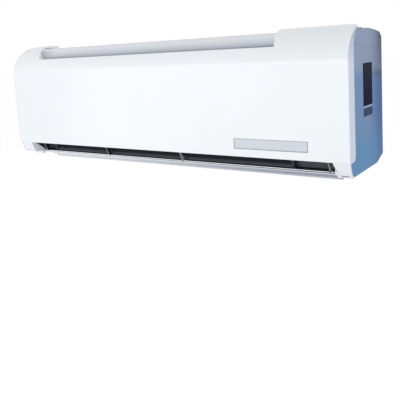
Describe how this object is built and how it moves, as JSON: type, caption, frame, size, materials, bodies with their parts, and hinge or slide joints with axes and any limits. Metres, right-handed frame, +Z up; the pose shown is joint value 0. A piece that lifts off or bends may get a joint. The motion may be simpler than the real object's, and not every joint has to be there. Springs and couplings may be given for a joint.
{
  "type": "mini split indoor unit",
  "caption": "Wall-hung indoor air conditioner unit with a wrap-over hinged front panel, an outlet flap, vertical louvres and a cross-flow fan on a wall plate.",
  "frame": {"origin": "centre of the mounting plate's back face, where it lies on the wall", "axes": "+X to the right seen from the front, +Y into the wall, +Z up; the unit faces -Y"},
  "size_m": [0.845, 0.189, 0.2812],
  "materials": {
    "panel_white": "smooth moulded",
    "window_tint": "clear lens, dark behind",
    "board_green": "coated board",
    "casing_blue": "smooth moulded, glossy",
    "grille_grey": "fine satin",
    "chassis_grey": "moulded, light grain",
    "filter_grey": "moulded net",
    "fin_aluminium": "mill",
    "copper_tube": "drawn copper",
    "nut_brass": "machined",
    "fan_black": "moulded",
    "shaft_steel": "ground",
    "motor_resin": "cast resin",
    "soft_rubber": "moulded",
    "sensor_black": "dipped",
    "duct_grey": "moulded, dark",
    "galvanised_steel": "galvanised sheet"
  },
  "bodies": {
    "casing": {"screw_cap_1": "panel_white", "screw_cap_2": "panel_white", "screw_cap_3": "panel_white", "display_board": "board_green", "control_board": "board_green", "front_frame": "casing_blue", "top_grille": "grille_grey", "pipe_clamp": "grille_grey", "control_box_cover": "grille_grey", "terminal_block": "grille_grey", "rear_chassis": "chassis_grey", "motor_clamp": "chassis_grey", "air_filter_left": "filter_grey", "air_filter_right": "filter_grey", "evaporator_front_lower": "fin_aluminium", "evaporator_front_upper": "fin_aluminium", "evaporator_rear": "fin_aluminium", "tube_sheet_left": "copper_tube", "tube_sheet_right": "copper_tube", "gas_pipe": "copper_tube", "liquid_pipe": "copper_tube", "gas_flare_nut": "nut_brass", "liquid_flare_nut": "nut_brass", "flap_motor": "shaft_steel", "transformer": "shaft_steel", "fan_motor": "motor_resin", "fan_bearing": "soft_rubber", "drain_plug": "soft_rubber", "room_sensor": "sensor_black", "capacitor": "sensor_black", "drain_tray": "duct_grey", "mounting_plate": "galvanised_steel", "control_box": "galvanised_steel"},
    "panel": {"front_panel": "panel_white", "display_window": "window_tint"},
    "flap": {"outlet_flap": "panel_white"},
    "fan": {"cross_flow_fan": "fan_black", "fan_stub_shaft": "shaft_steel", "motor_shaft": "shaft_steel"},
    "button": {"emergency_button": "panel_white"},
    "link_left": {"louvre_link_left": "duct_grey"},
    "link_right": {"louvre_link_right": "duct_grey"},
    "louvre_1": {"vertical_louvre_1": "duct_grey"},
    "louvre_2": {"vertical_louvre_2": "duct_grey"},
    "louvre_3": {"vertical_louvre_3": "duct_grey"},
    "louvre_4": {"vertical_louvre_4": "duct_grey"},
    "louvre_5": {"vertical_louvre_5": "duct_grey"},
    "louvre_6": {"vertical_louvre_6": "duct_grey"},
    "louvre_7": {"vertical_louvre_7": "duct_grey"},
    "louvre_8": {"vertical_louvre_8": "duct_grey"},
    "louvre_9": {"vertical_louvre_9": "duct_grey"},
    "louvre_10": {"vertical_louvre_10": "duct_grey"}
  },
  "joints": [
    {"name": "panel_hinge", "type": "hinge", "parent": "casing", "child": "panel", "pos_m": [0, -0.09, 0.126], "axis": [-1, 0, 0], "range_deg": [0, 60]},
    {"name": "flap_pivot", "type": "hinge", "parent": "casing", "child": "flap", "pos_m": [0, -0.146, -0.132], "axis": [-1, 0, 0], "range_deg": [0, 188]},
    {"name": "fan_spin", "type": "hinge", "parent": "casing", "child": "fan", "pos_m": [0, -0.069, -0.033], "axis": [1, 0, 0], "continuous": true},
    {"name": "button_press", "type": "slide", "parent": "casing", "child": "button", "axis": [0, 1, 0], "range_m": [0, 0.0015], "stiffness_N_per_m": 200},
    {"name": "louvre_1_turn", "type": "hinge", "parent": "casing", "child": "louvre_1", "pos_m": [-0.302, -0.121, -0.10997], "axis": [0, -0.5555, 0.8315], "range_deg": [-30, 30]},
    {"name": "louvre_2_turn", "type": "hinge", "parent": "casing", "child": "louvre_2", "pos_m": [-0.24, -0.121, -0.10997], "axis": [0, -0.5555, 0.8315], "range_deg": [-30, 30]},
    {"name": "louvre_3_turn", "type": "hinge", "parent": "casing", "child": "louvre_3", "pos_m": [-0.178, -0.121, -0.10997], "axis": [0, -0.5555, 0.8315], "range_deg": [-30, 30]},
    {"name": "louvre_4_turn", "type": "hinge", "parent": "casing", "child": "louvre_4", "pos_m": [-0.116, -0.121, -0.10997], "axis": [0, -0.5555, 0.8315], "range_deg": [-30, 30]},
    {"name": "louvre_5_turn", "type": "hinge", "parent": "casing", "child": "louvre_5", "pos_m": [-0.054, -0.121, -0.10997], "axis": [0, -0.5555, 0.8315], "range_deg": [-30, 30]},
    {"name": "louvre_6_turn", "type": "hinge", "parent": "casing", "child": "louvre_6", "pos_m": [0.008, -0.121, -0.10997], "axis": [0, -0.5555, 0.8315], "range_deg": [-30, 30]},
    {"name": "louvre_7_turn", "type": "hinge", "parent": "casing", "child": "louvre_7", "pos_m": [0.07, -0.121, -0.10997], "axis": [0, -0.5555, 0.8315], "range_deg": [-30, 30]},
    {"name": "louvre_8_turn", "type": "hinge", "parent": "casing", "child": "louvre_8", "pos_m": [0.132, -0.121, -0.10997], "axis": [0, -0.5555, 0.8315], "range_deg": [-30, 30]},
    {"name": "louvre_9_turn", "type": "hinge", "parent": "casing", "child": "louvre_9", "pos_m": [0.194, -0.121, -0.10997], "axis": [0, -0.5555, 0.8315], "range_deg": [-30, 30]},
    {"name": "louvre_10_turn", "type": "hinge", "parent": "casing", "child": "louvre_10", "pos_m": [0.256, -0.121, -0.10997], "axis": [0, -0.5555, 0.8315], "range_deg": [-30, 30]},
    {"name": "link_left_slide", "type": "slide", "parent": "casing", "child": "link_left", "axis": [1, 0, 0], "range_m": [-0.0052, 0.0052]},
    {"name": "link_right_slide", "type": "slide", "parent": "casing", "child": "link_right", "axis": [1, 0, 0], "range_m": [-0.0052, 0.0052]}
  ],
  "couplings": [
    {"joint": "link_left_slide", "follows": "louvre_1_turn", "m_per_rad": -0.00965},
    {"joint": "louvre_2_turn", "follows": "louvre_1_turn", "ratio": 1},
    {"joint": "louvre_3_turn", "follows": "louvre_1_turn", "ratio": 1},
    {"joint": "louvre_4_turn", "follows": "louvre_1_turn", "ratio": 1},
    {"joint": "louvre_5_turn", "follows": "louvre_1_turn", "ratio": 1},
    {"joint": "link_right_slide", "follows": "louvre_6_turn", "m_per_rad": -0.00965},
    {"joint": "louvre_7_turn", "follows": "louvre_6_turn", "ratio": 1},
    {"joint": "louvre_8_turn", "follows": "louvre_6_turn", "ratio": 1},
    {"joint": "louvre_9_turn", "follows": "louvre_6_turn", "ratio": 1},
    {"joint": "louvre_10_turn", "follows": "louvre_6_turn", "ratio": 1}
  ]
}
